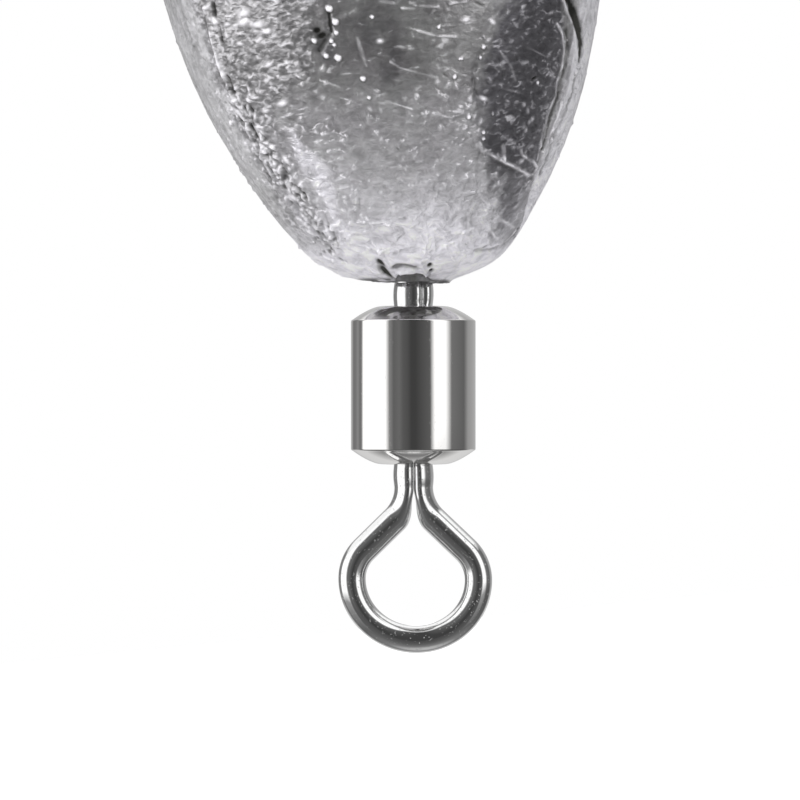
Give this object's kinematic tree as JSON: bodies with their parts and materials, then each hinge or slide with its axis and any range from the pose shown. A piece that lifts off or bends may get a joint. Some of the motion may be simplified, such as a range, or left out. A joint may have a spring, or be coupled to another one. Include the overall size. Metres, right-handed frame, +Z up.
{
  "type": "fishing sinker",
  "caption": "Cast lead olive sinker with a rolling swivel cast into each end, whose free wire eyes take the line and the trace.",
  "frame": {"origin": "centre of the upper eye's loop, where the line ties on and the sinker hangs from", "axes": "+Z up along the lead and the upper swivel, +Y through the open loop of the upper eye, +X across the loop"},
  "size_m": [0.0162, 0.0162, 0.058],
  "materials": {
    "lead": "satin",
    "barrel_plating": "polished",
    "wire_plating": "polished"
  },
  "bodies": {
    "upper_eye": {"upper_eye": "wire_plating"},
    "upper_barrel": {"upper_barrel": "barrel_plating"},
    "lead": {"lead_body": "lead", "upper_anchor_eye": "wire_plating", "lower_anchor_eye": "wire_plating"},
    "lower_barrel": {"lower_barrel": "barrel_plating"},
    "lower_eye": {"lower_eye": "wire_plating"}
  },
  "joints": [
    {"name": "upper_barrel_spin", "type": "hinge", "parent": "upper_eye", "child": "upper_barrel", "pos_m": [0, 0, -0.00654], "axis": [0, 0, 1], "continuous": true},
    {"name": "lead_spin", "type": "hinge", "parent": "upper_barrel", "child": "lead", "pos_m": [0, 0, -0.00654], "axis": [0, 0, 1], "continuous": true},
    {"name": "lower_barrel_spin", "type": "hinge", "parent": "lead", "child": "lower_barrel", "pos_m": [-0.00034, 0, -0.04647], "axis": [0.0976, 0, 0.9952], "continuous": true},
    {"name": "lower_eye_spin", "type": "hinge", "parent": "lower_barrel", "child": "lower_eye", "pos_m": [-0.00034, 0, -0.04647], "axis": [0.0976, 0, 0.9952], "continuous": true}
  ]
}
